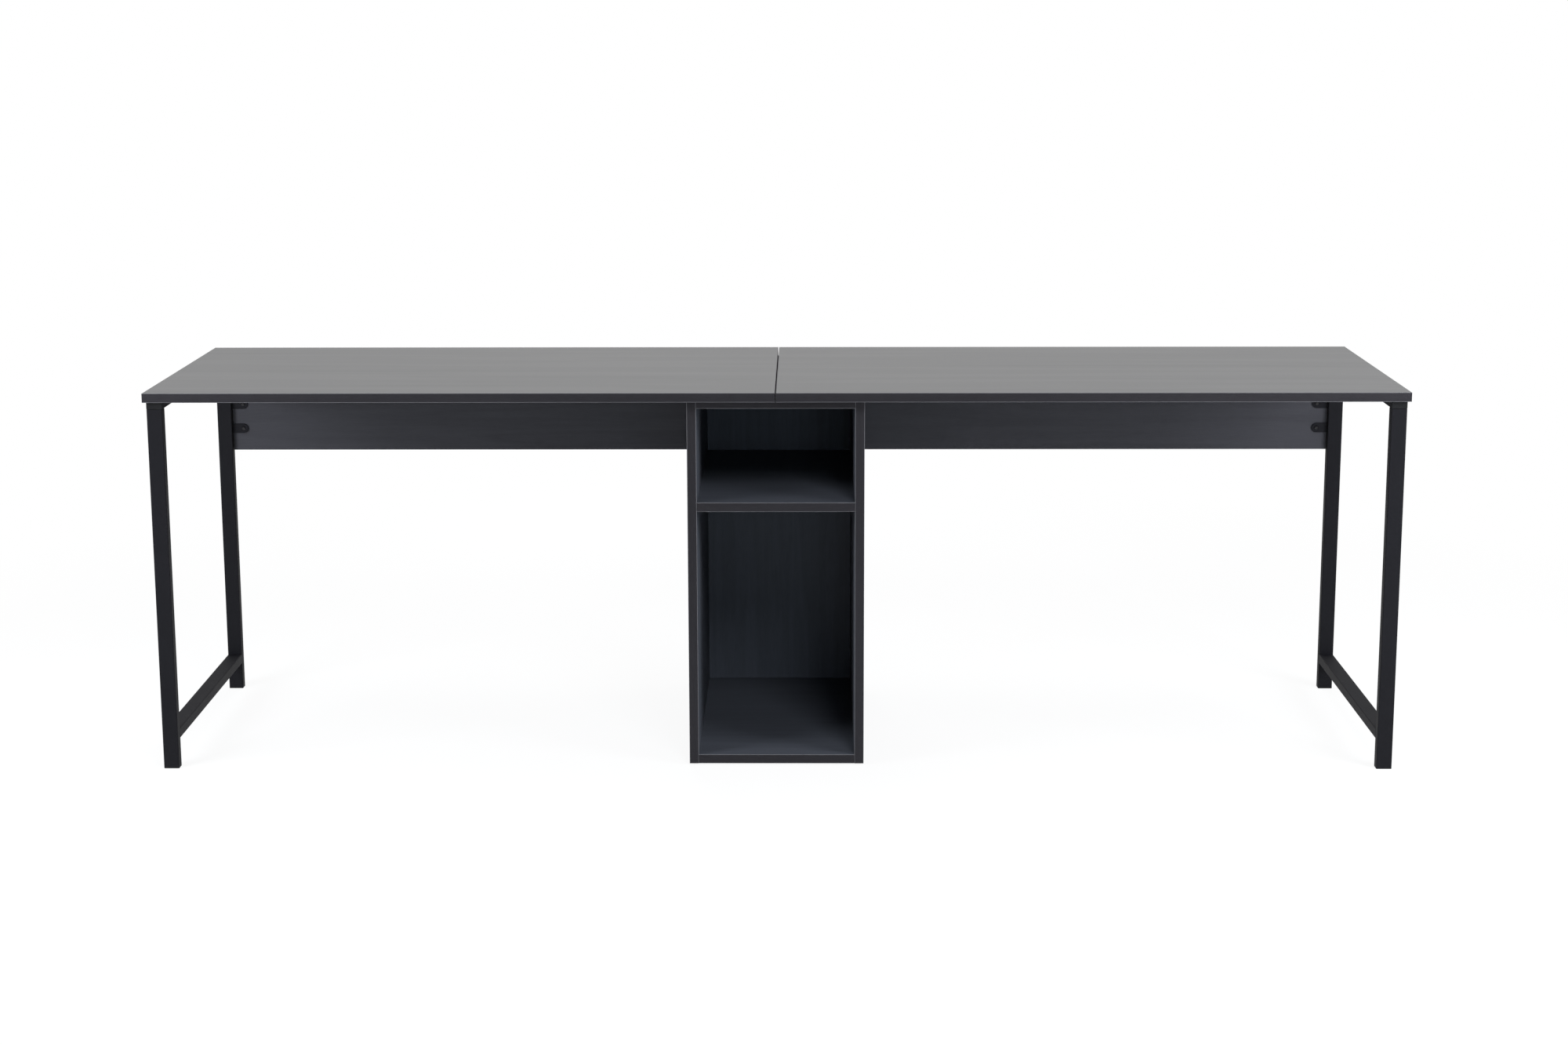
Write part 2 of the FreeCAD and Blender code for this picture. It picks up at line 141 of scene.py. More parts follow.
# Coordinates that are squeezed along an axis draw the grain out along it.
ALONG_WIDTH = (0.06, 1.0, 1.0)
ALONG_HEIGHT = (1.0, 1.0, 0.06)
ALONG_DOWEL = (0.2, 1.0, 1.0)
# Faces in this layer are the rounded arrises, which a finish with an arris colour paints with a highlight.
ARRIS_LAYER = "arris"
EDGING_ARRIS = 0.0008
QUAD_CORNERS = 4
WHITE = (1.0, 1.0, 1.0, 1.0)
# Sockets whose names repeat are reached by number: outputs of Mix, then inputs of Mix Shader.
MIXED_NUMBER = 0
MIXED_COLOUR = 2
FIRST_SHADER = 1
SECOND_SHADER = 2


class MixInput(Enum):
    """Where the Mix node keeps its inputs, several of which share a name."""

    SHARE = 0
    LOW_NUMBER = 2
    HIGH_NUMBER = 3
    LOW_COLOUR = 6
    HIGH_COLOUR = 7


class NodeBoard:
    """Adds nodes and links to one shader tree."""

    def __init__(self, tree: NodeTree) -> None:
        """Keeps the tree that the nodes go into."""
        self.tree = tree

    def add(self, kind: str, **inputs: object) -> Node:
        """Adds a node and fills its inputs.

        Args:
            kind: the node's type name.
            inputs: values or sockets by input name, with spaces as underscores.

        Returns:
            The new node.
        """
        node = self.tree.nodes.new(kind)
        for name, value in inputs.items():
            self.feed(node.inputs[name.replace("_", " ")], value)
        return node

    def feed(self, socket: NodeSocket, value: object) -> None:
        """Links a socket to another, or sets its value.

        Args:
            socket: the input to fill.
            value: the output to link it to, or a plain value.
        """
        if isinstance(value, NodeSocket):
            self.tree.links.new(value, socket)
        else:
            socket.default_value = value

    def blend(self, share: object, low: object, high: object) -> NodeSocket:
        """A number between two others.

        Args:
            share: how far from low to high.
            low: the number at share 0.
            high: the number at share 1.

        Returns:
            The socket that holds the result.
        """
        node = self.add("ShaderNodeMix")
        self.feed(node.inputs[MixInput.SHARE.value], share)
        self.feed(node.inputs[MixInput.LOW_NUMBER.value], low)
        self.feed(node.inputs[MixInput.HIGH_NUMBER.value], high)
        return node.outputs[MIXED_NUMBER]

    def tinted(self, share: object, low: object, high: object) -> NodeSocket:
        """A colour between two others.

        Args:
            share: how far from low to high.
            low: the colour at share 0.
            high: the colour at share 1.

        Returns:
            The socket that holds the result.
        """
        node = self.add("ShaderNodeMix")
        node.data_type = "RGBA"
        self.feed(node.inputs[MixInput.SHARE.value], share)
        self.feed(node.inputs[MixInput.LOW_COLOUR.value], low)
        self.feed(node.inputs[MixInput.HIGH_COLOUR.value], high)
        return node.outputs[MIXED_COLOUR]

    def arithmetic(self, operation: str, first: object, second: object) -> NodeSocket:
        """The result of an operation on two numbers.

        Args:
            operation: the Math node's name for it.
            first: the first number.
            second: the second number.

        Returns:
            The socket that holds the result.
        """
        node = self.add("ShaderNodeMath")
        node.operation = operation
        for index, value in enumerate((first, second)):
            self.feed(node.inputs[index], value)
        return node.outputs[0]

    def larger(self, first: object, second: object) -> NodeSocket:
        """The larger of two numbers."""
        return self.arithmetic("MAXIMUM", first, second)

    def contours(self, height: NodeSocket, count: float) -> NodeSocket:
        """Even bands between 0 and 1 that follow a pattern's contour lines.

        Args:
            height: the pattern's value.
            count: how many bands there are from its lowest to its highest value.

        Returns:
            The socket that holds the result.
        """
        return self.arithmetic("PINGPONG", self.arithmetic("MULTIPLY", height, count), 1.0)

    def noise(self, place: NodeSocket, size: float, detail: float) -> NodeSocket:
        """A noise pattern.

        Args:
            place: the coordinates that the pattern is read at.
            size: the size of one blot.
            detail: how many finer layers it has.

        Returns:
            The pattern's value, from 0 to 1.
        """
        return self.add("ShaderNodeTexNoise", Vector=place, Scale=1.0 / size, Detail=detail).outputs[0]


@dataclass(frozen=True)
class Finish:
    """A surface with a cloudy tone, fine speckle, uneven gloss and a fine relief, and, where it has an
    arris colour, a painted highlight along its rounded arrises.

    Lengths are metres, and colours are linear.
    """

    dark: tuple[float, float, float]
    light: tuple[float, float, float]
    roughness: tuple[float, float]
    cloud_size: float
    speckle_size: float
    relief_size: float
    relief_depth: float
    relief_strength: float = 0.3
    metallic: float = 0.0
    specular: float = 0.5
    stretch: tuple[float, float, float] = (1.0, 1.0, 1.0)
    # The paler colour painted along rounded arrises as a painted highlight, where given.
    arris: tuple[float, float, float] | None = None
    rings: float = 0.0
    ring_share: float = 0.18
    cloud_detail: float = 3.0
    fine_detail: float = 2.0
    speckle_share: float = 0.5
    tone_span: tuple[float, float] = (0.3, 0.7)

    def with_arris_highlight(self, board: NodeBoard, colour: NodeSocket) -> NodeSocket:
        """The colour, painted paler along the rounded arrises of a finish that has them, as a painted
        highlight.

        Args:
            board: where the nodes go.
            colour: the colour of the flat faces.

        Returns:
            The socket that holds the result.
        """
        if self.arris is None:
            return colour
        marked = board.add("ShaderNodeAttribute")
        marked.attribute_name = ARRIS_LAYER
        return board.tinted(marked.outputs["Fac"], colour, (*self.arris, 1.0))

    def material(self, name: str) -> Material:
        """Makes this finish's material.

        Args:
            name: the material's name.

        Returns:
            A material whose patterns are fixed to the piece.
        """
        made = bpy.data.materials.new(name)
        made.use_nodes = True
        board = NodeBoard(made.node_tree)
        shader = made.node_tree.nodes["Principled BSDF"]
        place = board.add("ShaderNodeTexCoord").outputs["Object"]
        laid = board.add("ShaderNodeMapping", Vector=place, Scale=self.stretch).outputs[0]
        cloud = board.noise(laid, self.cloud_size, self.cloud_detail)
        speckle = board.noise(laid, self.speckle_size, self.fine_detail)
        tone = board.blend(self.speckle_share, cloud, speckle)
        if self.rings:
            tone = board.blend(self.ring_share, tone, board.contours(cloud, self.rings))
        colours = board.add("ShaderNodeValToRGB", Fac=tone)
        low, high = colours.color_ramp.elements
        low.position, high.position = self.tone_span
        low.color = (*self.dark, 1.0)
        high.color = (*self.light, 1.0)
        # Rounded arrises get a painted highlight where the finish gives an arris colour.
        board.feed(shader.inputs["Base Color"], self.with_arris_highlight(board, colours.outputs["Color"]))
        board.feed(shader.inputs["Roughness"], board.blend(cloud, *self.roughness))
        relief = board.add(
            "ShaderNodeBump",
            Height=board.noise(laid, self.relief_size, self.fine_detail),
            Strength=self.relief_strength,
            Distance=self.relief_depth,
        )
        board.feed(shader.inputs["Normal"], relief.outputs["Normal"])
        shader.inputs["Metallic"].default_value = self.metallic
        shader.inputs["Specular IOR Level"].default_value = self.specular
        return made


BOARD = Finish(
    dark=(0.0299, 0.0290, 0.0331),
    light=(0.0382, 0.0370, 0.0421),
    roughness=(0.42, 0.50),
    cloud_size=0.05,
    speckle_size=0.0011,
    relief_size=0.0009,
    relief_depth=0.00006,
    specular=0.12,
    stretch=ALONG_WIDTH,
    rings=12.0,
)
# Painted light: the shelf unit's boards are the same board painted lighter and bluer, in place of the cool
# light that reaches into the unit's bays.
UNIT_BOARD_PAINTED_LIGHTER = replace(BOARD, dark=(0.052, 0.055, 0.065), light=(0.066, 0.070, 0.083))
EDGING = Finish(
    dark=(0.0140, 0.0129, 0.0146),
    light=(0.0208, 0.0193, 0.0217),
    roughness=(0.50, 0.60),
    cloud_size=0.03,
    speckle_size=0.0009,
    relief_size=0.0008,
    relief_depth=0.00005,
    specular=0.10,
    stretch=ALONG_WIDTH,
    # Painted highlight: the rounded arrises are painted paler, in place of the light that they catch.
    arris=(0.11, 0.107, 0.112),
)
FINISHES: dict[Look, Finish] = {
    # The worktops are the same board with a real satin gloss, and a lighter tone painted on as painted
    # light for their lit tops.
    Look.WORKTOP: replace(
        BOARD,
        dark=(0.039, 0.0385, 0.0395),
        light=(0.052, 0.0515, 0.0525),
        roughness=(0.33, 0.41),
        specular=0.45,
    ),
    Look.BOARD: BOARD,
    # The unit's looks wear the board's lighter, bluer painted copy.
    Look.UNIT_LEVEL: UNIT_BOARD_PAINTED_LIGHTER,
    Look.UNIT_UPRIGHT: replace(UNIT_BOARD_PAINTED_LIGHTER, stretch=ALONG_HEIGHT),
    Look.EDGING: EDGING,
    Look.UPRIGHT_EDGING: replace(EDGING, stretch=ALONG_HEIGHT),
    Look.STEEL: Finish(
        dark=(0.0058, 0.0056, 0.0068),
        light=(0.0083, 0.0080, 0.0096),
        roughness=(0.62, 0.72),
        cloud_size=0.09,
        speckle_size=0.0008,
        relief_size=0.0012,
        relief_depth=0.00006,
        specular=0.12,
    ),
    Look.PLASTIC: Finish(
        dark=(0.0065, 0.0065, 0.0070),
        light=(0.0095, 0.0095, 0.0100),
        roughness=(0.50, 0.62),
        cloud_size=0.02,
        speckle_size=0.0006,
        relief_size=0.0006,
        relief_depth=0.00006,
        specular=0.12,
    ),
    Look.ZINC: Finish(
        dark=(0.30, 0.30, 0.32),
        light=(0.44, 0.44, 0.46),
        roughness=(0.28, 0.45),
        cloud_size=0.006,
        speckle_size=0.0005,
        relief_size=0.0004,
        relief_depth=0.00003,
        metallic=1.0,
    ),
    Look.BLACK_SCREW: Finish(
        dark=(0.045, 0.045, 0.048),
        light=(0.085, 0.085, 0.090),
        roughness=(0.30, 0.45),
        cloud_size=0.004,
        speckle_size=0.0005,
        relief_size=0.0004,
        relief_depth=0.00003,
        metallic=1.0,
    ),
    Look.DOWEL: Finish(
        dark=(0.40, 0.24, 0.12),
        light=(0.60, 0.40, 0.22),
        roughness=(0.55, 0.70),
        cloud_size=0.004,
        speckle_size=0.0008,
        relief_size=0.0008,
        relief_depth=0.00008,
        stretch=ALONG_DOWEL,
    ),
}


class Paintbox:
    """Hands out each finish's material, made once."""

    def __init__(self) -> None:
        """Starts with no material made."""
        self.made: dict[Look, Material] = {}

    def material(self, look: Look) -> Material:
        """The material of a look.

        Args:
            look: the look that is wanted.

        Returns:
            Its material, which every piece of that look shares.
        """
        if look not in self.made:
            self.made[look] = FINISHES[look].material(look.value)
        return self.made[look]

    def dress(self, piece: Object, look: Look) -> None:
        """Gives a piece one material all over."""
        piece.data.materials.clear()
        piece.data.materials.append(self.material(look))

    def carry_over(self, nodes: dict[str, Object]) -> None:
        """Dresses every node of the frame by its name, or else by its slot in the record.

        Args:
            nodes: the frame's objects by node name.
        """
        for row in frame["record"]["subparts"]:
            look = LOOK_OF_NODE.get(row["node"], LOOK_OF_SLOT[Slot(row["material_slot"])])
            self.dress(nodes[row["node"]], look)
            LOG.info("dressed %s in %s", row["node"], look.value)


@dataclass
class Builder:
    """Turns bmesh work into finished pieces.

    A line lies along an axis where the axis takes up more than least_run of it.
    """

    paint: Paintbox
    smooth_limit: float = math.radians(35.0)
    least_run: float = 0.9
    strip_segments: int = 4

    def blank(self) -> BMesh:
        """Makes an empty mesh whose faces can be marked as arrises.

        Returns:
            The mesh.
        """
        bm = bmesh.new()
        bm.faces.layers.float.new(ARRIS_LAYER)
        return bm

    def block(self, bm: BMesh, low: Vector, high: Vector) -> list[BMVert]:
        """Adds a block.

        Args:
            bm: the mesh to add to.
            low: its lowest corner.
            high: its highest corner.

        Returns:
            The block's vertices.
        """
        verts = bmesh.ops.create_cube(bm, size=1.0)["verts"]
        bmesh.ops.scale(bm, vec=high - low, verts=verts)
        bmesh.ops.translate(bm, vec=(low + high) / 2, verts=verts)
        return verts

    def edges(self, verts: list[BMVert], along: Axis, keep: Callable[[Vector], bool]) -> list[BMEdge]:
        """The edges of a block in one direction.

        Args:
            verts: the block's vertices.
            along: the direction of the edges.
            keep: tells by an edge's middle whether it is wanted.

        Returns:
            The wanted edges.
        """
        found = {edge for vert in verts for edge in vert.link_edges}
        wanted = []
        for edge in sorted(found, key=lambda e: tuple(e.verts[0].co + e.verts[1].co)):
            run = edge.verts[1].co - edge.verts[0].co
            middle = (edge.verts[0].co + edge.verts[1].co) / 2
            if abs(run[along.value]) > self.least_run * run.length and keep(middle):
                wanted.append(edge)
        return wanted

    def round_edges(self, bm: BMesh, edges: list[BMEdge], radius: float, segments: int) -> None:
        """Rounds edges with a bevel, and marks the new faces as arrises.

        Args:
            bm: the mesh that the edges belong to.
            edges: the edges to round.
            radius: how far back from each edge the rounding starts.
            segments: how many faces go round it.
        """
        made = bmesh.ops.bevel(
            bm, geom=edges, offset=radius, affect="EDGES", segments=segments, profile=0.5, material=-1
        )
        # The marked faces get a painted highlight in finishes that have an arris colour.
        layer = bm.faces.layers.float[ARRIS_LAYER]
        for face in made["faces"]:
            face[layer] = 1.0

    def strip(
        self, bm: BMesh, low: Vector, high: Vector, along: Axis, out: Axis, sign: int, radius: float
    ) -> None:
        """Adds an edging strip with its two long outer edges rounded.

        Args:
            bm: the mesh to add to.
            low: its lowest corner.
            high: its highest corner.
            along: the way that it runs.
            out: the way that its outer face looks.
            sign: the sign of that way.
            radius: the radius of the rounded edges.
        """
        verts = self.block(bm, low, high)
        middle = ((low + high) / 2)[out.value]
        outer = self.edges(verts, along, lambda p: (p[out.value] - middle) * sign > 0)
        self.round_edges(bm, outer, radius, self.strip_segments)

    def piece(self, bm: BMesh, name: str, slot: Slot, *nodes: str, look: Look | None = None) -> None:
        """Makes an object of a mesh, dresses it and puts it in the frame.

        Args:
            bm: the mesh, which is used up.
            name: the piece's name.
            slot: its material slot.
            nodes: the nodes of the frame that it stands for.
            look: its finish, where it isn't the slot's usual one.
        """
        bmesh.ops.recalc_face_normals(bm, faces=bm.faces)
        for face in bm.faces:
            face.smooth = True
        mesh = bpy.data.meshes.new(name)
        bm.to_mesh(mesh)
        bm.free()
        mesh.set_sharp_from_angle(angle=self.smooth_limit)
        made = bpy.data.objects.new(name, mesh)
        bpy.context.scene.collection.objects.link(made)
        even = made.modifiers.new("even_shading", "WEIGHTED_NORMAL")
        even.keep_sharp = True
        self.paint.dress(made, look or LOOK_OF_SLOT[slot])
        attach(made, BODY)
        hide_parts(*nodes)
        LOG.info("built %s", name)


@dataclass
class Worktop:
    """One worktop: its board stays, and its edging gets round arrises."""

    side: Side
    builder: Builder
    arris: float = EDGING_ARRIS

    def build(self) -> None:
        """Builds the four strips round the board."""
        name = f"{self.side.value}_worktop_edging"
        low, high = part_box(name)
        core_low, core_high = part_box(f"{self.side.value}_worktop")
        bm = self.builder.blank()
        self.builder.strip(
            bm, low, Vector((high.x, core_low.y, high.z)), Axis.WIDTH, Axis.DEPTH, -1, self.arris
        )
        self.builder.strip(
            bm, Vector((low.x, core_high.y, low.z)), high, Axis.WIDTH, Axis.DEPTH, 1, self.arris
        )
        for start, end, sign in ((low.x, core_low.x, -1), (core_high.x, high.x, 1)):
            self.builder.strip(
                bm,
                Vector((start, core_low.y, low.z)),
                Vector((end, core_high.y, high.z)),
                Axis.DEPTH,
                Axis.WIDTH,
                sign,
                self.arris,
            )
        self.builder.piece(bm, f"{name}_rounded", Slot.EDGING, name)


@dataclass
class EndFrame:
    """One welded end frame: legs, lower rail, foot plugs and panel tabs.

    Lengths are metres, and slack is how far off a vertex may lie from where it is looked for.
    """

    side: Side
    builder: Builder
    tube_corner: float = 0.0020
    tube_wall: float = 0.0012
    corner_segments: int = 5
    rim_segments: int = 3
    plug_round: float = 0.0010
    plug_fit_gap: float = 0.0001
    plug_core_gap: float = 0.0030
    fin_height: float = 0.0012
    fin_pitch: float = 0.0050
    fin_count: int = 3
    tab_width: float = 0.020
    tab_hole: float = 0.0046
    tab_arris: float = 0.0004
    tab_segments: int = 64
    rim_angle: float = math.radians(60.0)
    slack: float = 0.00001

    def node(self, name: str) -> str:
        """The full name of one of this frame's nodes."""
        return f"{self.side.value}_{name}"

    def tube(self, name: str, along: Axis) -> None:
        """Builds a hollow tube with rounded long corners over a node's box.

        Args:
            name: the node's name in this frame.
            along: the way that the tube runs.
        """
        low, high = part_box(self.node(name))
        bm = self.builder.blank()
        verts = self.builder.block(bm, low, high)
        corners = self.builder.edges(verts, along, lambda p: True)
        self.builder.round_edges(bm, corners, self.tube_corner, self.corner_segments)
        ends = [face for face in bm.faces if abs(face.normal[along.value]) > self.builder.least_run]
        bmesh.ops.delete(bm, geom=ends, context="FACES_ONLY")
        bmesh.ops.recalc_face_normals(bm, faces=bm.faces)
        bmesh.ops.solidify(bm, geom=list(bm.faces), thickness=self.tube_wall)
        self.builder.piece(bm, f"{self.node(name)}_tube", Slot.STEEL, self.node(name))

    def step_up(self, bm: BMesh, face: BMFace, rise: float, size: Vector) -> BMFace:
        """Extrudes a level face upwards and brings the new face to a size.

        Args:
            bm: the mesh that the face belongs to.
            face: the face to extrude.
            rise: how far up the new face lies.
            size: the new face's width and depth.

        Returns:
            The new face.
        """
        made = bmesh.ops.extrude_discrete_faces(bm, faces=[face])["faces"][0]
        middle = made.calc_center_bounds()
        across = [vert.co.x for vert in made.verts]
        deep = [vert.co.y for vert in made.verts]
        shape = Vector((size.x / (max(across) - min(across)), size.y / (max(deep) - min(deep)), 1.0))
        bmesh.ops.scale(bm, vec=shape, space=Matrix.Translation(-middle), verts=made.verts)
        bmesh.ops.translate(bm, vec=(0.0, 0.0, rise), verts=made.verts)
        return made

    def finned_core(self, bm: BMesh, face: BMFace, bore: Vector, height: float) -> None:
        """Raises a plug's core from its flange, with the fins that grip the tube.

        Args:
            bm: the mesh that the flange belongs to.
            face: the flange's upper face.
            bore: the width and depth that the fins fill.
            height: how far the core reaches into the tube.
        """
        core = bore - 2 * Vector((self.plug_core_gap, self.plug_core_gap, 0.0))
        face = self.step_up(bm, face, 0.0, core)
        gap = self.fin_pitch - self.fin_height
        risen = 0.0
        for index in range(self.fin_count):
            stem = self.fin_height if index == 0 else gap
            for rise, size in ((stem, core), (0.0, bore), (self.fin_height, bore), (0.0, core)):
                face = self.step_up(bm, face, rise, size)
                risen += rise
        self.step_up(bm, face, height - risen, core)

    def foot_plugs(self) -> None:
        """Builds the plugs under both legs, with the cores that sit in the tubes."""
        name = self.node("foot_plugs")
        bottom, top = (corner.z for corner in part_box(name))
        legs = [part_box(self.node(leg)) for leg in ("front_leg", "rear_leg")]
        bm = self.builder.blank()
        for low, high in legs:
            verts = self.builder.block(bm, Vector((low.x, low.y, bottom)), Vector((high.x, high.y, low.z)))
            corners = self.builder.edges(verts, Axis.HEIGHT, lambda p: True)
            self.builder.round_edges(bm, corners, self.tube_corner, self.corner_segments)
        rim = [edge for edge in bm.edges if max(v.co.z for v in edge.verts) < bottom + self.plug_fit_gap]
        self.builder.round_edges(bm, rim, self.plug_round, self.rim_segments)
        wall = self.tube_wall + self.plug_fit_gap
        for low, high in legs:
            seat = Vector(((low.x + high.x) / 2, (low.y + high.y) / 2, low.z))
            upper = min(bm.faces, key=lambda f: (f.calc_center_bounds() - seat).length)
            bore = high - low - 2 * Vector((wall, wall, 0.0))
            self.finned_core(bm, upper, bore, top - low.z)
        self.builder.piece(bm, f"{name}_moulded", Slot.PLASTIC, name)

    def tab_outline(self, bm: BMesh, middle: Vector, root: float) -> None:
        """Adds a tab's flat front: a ring round the screw hole, and a strip back to the leg.

        Args:
            bm: the mesh to add to.
            middle: the middle of the screw hole.
            root: where the tab meets the leg, along the width.
        """
        radius = self.tab_width / 2
        spoke = [bm.verts.new(middle + Vector((0.0, 0.0, reach))) for reach in (self.tab_hole / 2, radius)]
        bmesh.ops.spin(
            bm,
            geom=[*spoke, bm.edges.new(spoke)],
            cent=middle,
            axis=(0.0, 1.0, 0.0),
            angle=math.tau,
            steps=self.tab_segments,
            use_merge=True,
        )
        back = []
        for edge in bm.edges:
            arms = [vert.co - middle for vert in edge.verts]
            on_rim = all(abs(arm.length - radius) < self.slack for arm in arms)
            facing_leg = all(arm.x * self.side.outward > -self.slack for arm in arms)
            if on_rim and facing_leg:
                back.append(edge)
        grown = bmesh.ops.extrude_edge_only(bm, edges=back)["geom"]
        for item in grown:
            if isinstance(item, BMVert):
                item.co.x = root
        strip = [item for item in grown if isinstance(item, BMFace)]
        bmesh.ops.dissolve_faces(bm, faces=strip, use_verts=True)

    def tabs(self) -> None:
        """Builds the round-ended tabs on the rear leg, each with its screw hole."""
        name = self.node("panel_tabs")
        low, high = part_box(name)
        radius = self.tab_width / 2
        if self.side is Side.RIGHT:
            root, tip = high.x, low.x + radius
        else:
            root, tip = low.x, high.x - radius
        bm = self.builder.blank()
        for height in (low.z + radius, high.z - radius):
            self.tab_outline(bm, Vector((tip, low.y, height)), root)
        bm.normal_update()
        bmesh.ops.reverse_faces(bm, faces=[face for face in bm.faces if face.normal.y > 0])
        bmesh.ops.solidify(bm, geom=list(bm.faces), thickness=high.y - low.y)
        rims = [edge for edge in bm.edges if edge.calc_face_angle(0.0) > self.rim_angle]
        self.builder.round_edges(bm, rims, self.tab_arris, self.rim_segments)
        # The strip is a face with a hollow side, which shades black unless it is cut up.
        many_sided = [face for face in bm.faces if len(face.verts) > QUAD_CORNERS]
        bmesh.ops.triangulate(bm, faces=many_sided)
        self.builder.piece(bm, f"{name}_plate", Slot.STEEL, name)

    def build(self) -> None:
        """Builds every piece of the frame."""
        self.tube("front_leg", Axis.HEIGHT)
        self.tube("rear_leg", Axis.HEIGHT)
        self.tube("bottom_rail", Axis.DEPTH)
        self.foot_plugs()
        self.tabs()


@dataclass
class BackPanel:
    """One back panel: its board stays, and its edging gets round arrises."""

    side: Side
    builder: Builder
    arris: float = EDGING_ARRIS

    def build(self) -> None:
        """Builds the strips on the lower edge and on the leg's end."""
        name = f"{self.side.value}_back_panel_edging"
        low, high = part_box(name)
        core_low, core_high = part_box(f"{self.side.value}_back_panel")
        bm = self.builder.blank()
        lower_high = Vector((high.x, high.y, core_low.z))
        self.builder.strip(bm, low, lower_high, Axis.WIDTH, Axis.HEIGHT, -1, self.arris)
        if self.side is Side.LEFT:
            start, end = low.x, core_low.x
        else:
            start, end = core_high.x, high.x
        self.builder.strip(
            bm,
            Vector((start, low.y, core_low.z)),
            Vector((end, high.y, high.z)),
            Axis.HEIGHT,
            Axis.WIDTH,
            self.side.outward,
            self.arris,
        )
        self.builder.piece(bm, f"{name}_rounded", Slot.EDGING, name)


@dataclass
class ShelfUnit:
    """The open unit between the seats: its boards stay, and their edging gets round arrises."""

    builder: Builder
    arris: float = EDGING_ARRIS
    levels: tuple[str, ...] = ("unit_top", "unit_shelf", "unit_bottom")

    def side_edging(self, side: Side) -> None:
        """Builds the front, back and lower strips of one side.

        Args:
            side: which side of the unit.
        """
        name = f"{side.value}_unit_side_edging"
        low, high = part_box(name)
        core_low, core_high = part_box(f"{side.value}_unit_side")
        bm = self.builder.blank()
        for start, end, sign in ((low.y, core_low.y, -1), (core_high.y, high.y, 1)):
            self.builder.strip(
                bm,
                Vector((low.x, start, core_low.z)),
                Vector((high.x, end, high.z)),
                Axis.HEIGHT,
                Axis.DEPTH,
                sign,
                self.arris,
            )
        lower_high = Vector((high.x, high.y, core_low.z))
        self.builder.strip(bm, low, lower_high, Axis.DEPTH, Axis.HEIGHT, -1, self.arris)
        self.builder.piece(bm, f"{name}_rounded", Slot.EDGING, name, look=Look.UPRIGHT_EDGING)

    def level_edging(self) -> None:
        """Builds the front strips of the top, the shelf and the bottom."""
        name = "unit_level_edging"
        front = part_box(name)[0].y
        bm = self.builder.blank()
        for level in self.levels:
            low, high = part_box(level)
            self.builder.strip(
                bm,
                Vector((low.x, front, low.z)),
                Vector((high.x, low.y, high.z)),
                Axis.WIDTH,
                Axis.DEPTH,
                -1,
                self.arris,
            )
        self.builder.piece(bm, f"{name}_rounded", Slot.EDGING, name)

    def build(self) -> None:
        """Builds all the unit's edging."""
        for side in Side:
            self.side_edging(side)
        self.level_edging()


COOL = (0.70, 0.86, 1.0)
SOFT_COOL = (0.90, 0.95, 1.0)


@dataclass(frozen=True)
class SoftBox:
    """A rectangular studio lamp: its place, aim and size in metres, its power in watts.

    The camera never sees a lamp. One that shines shows in mirrors.
    """

    name: str
    place: tuple[float, float, float]
    aim: tuple[float, float, float]
    size: tuple[float, float]
    power: float
    tint: tuple[float, float, float] = (1.0, 1.0, 1.0)
    shines: bool = False

    def hang(self) -> None:
        """Adds the lamp to the scene."""
        data = bpy.data.lights.new(self.name, "AREA")
        data.shape = "RECTANGLE"
        data.size, data.size_y = self.size
        data.energy = self.power
        data.color = self.tint
        lamp = bpy.data.objects.new(self.name, data)
        lamp.location = self.place
        lamp.rotation_mode = "QUATERNION"
        lamp.rotation_quaternion = (Vector(self.aim) - Vector(self.place)).to_track_quat("-Z", "Y")
        lamp.visible_camera = False
        lamp.visible_glossy = self.shines
        bpy.context.scene.collection.objects.link(lamp)


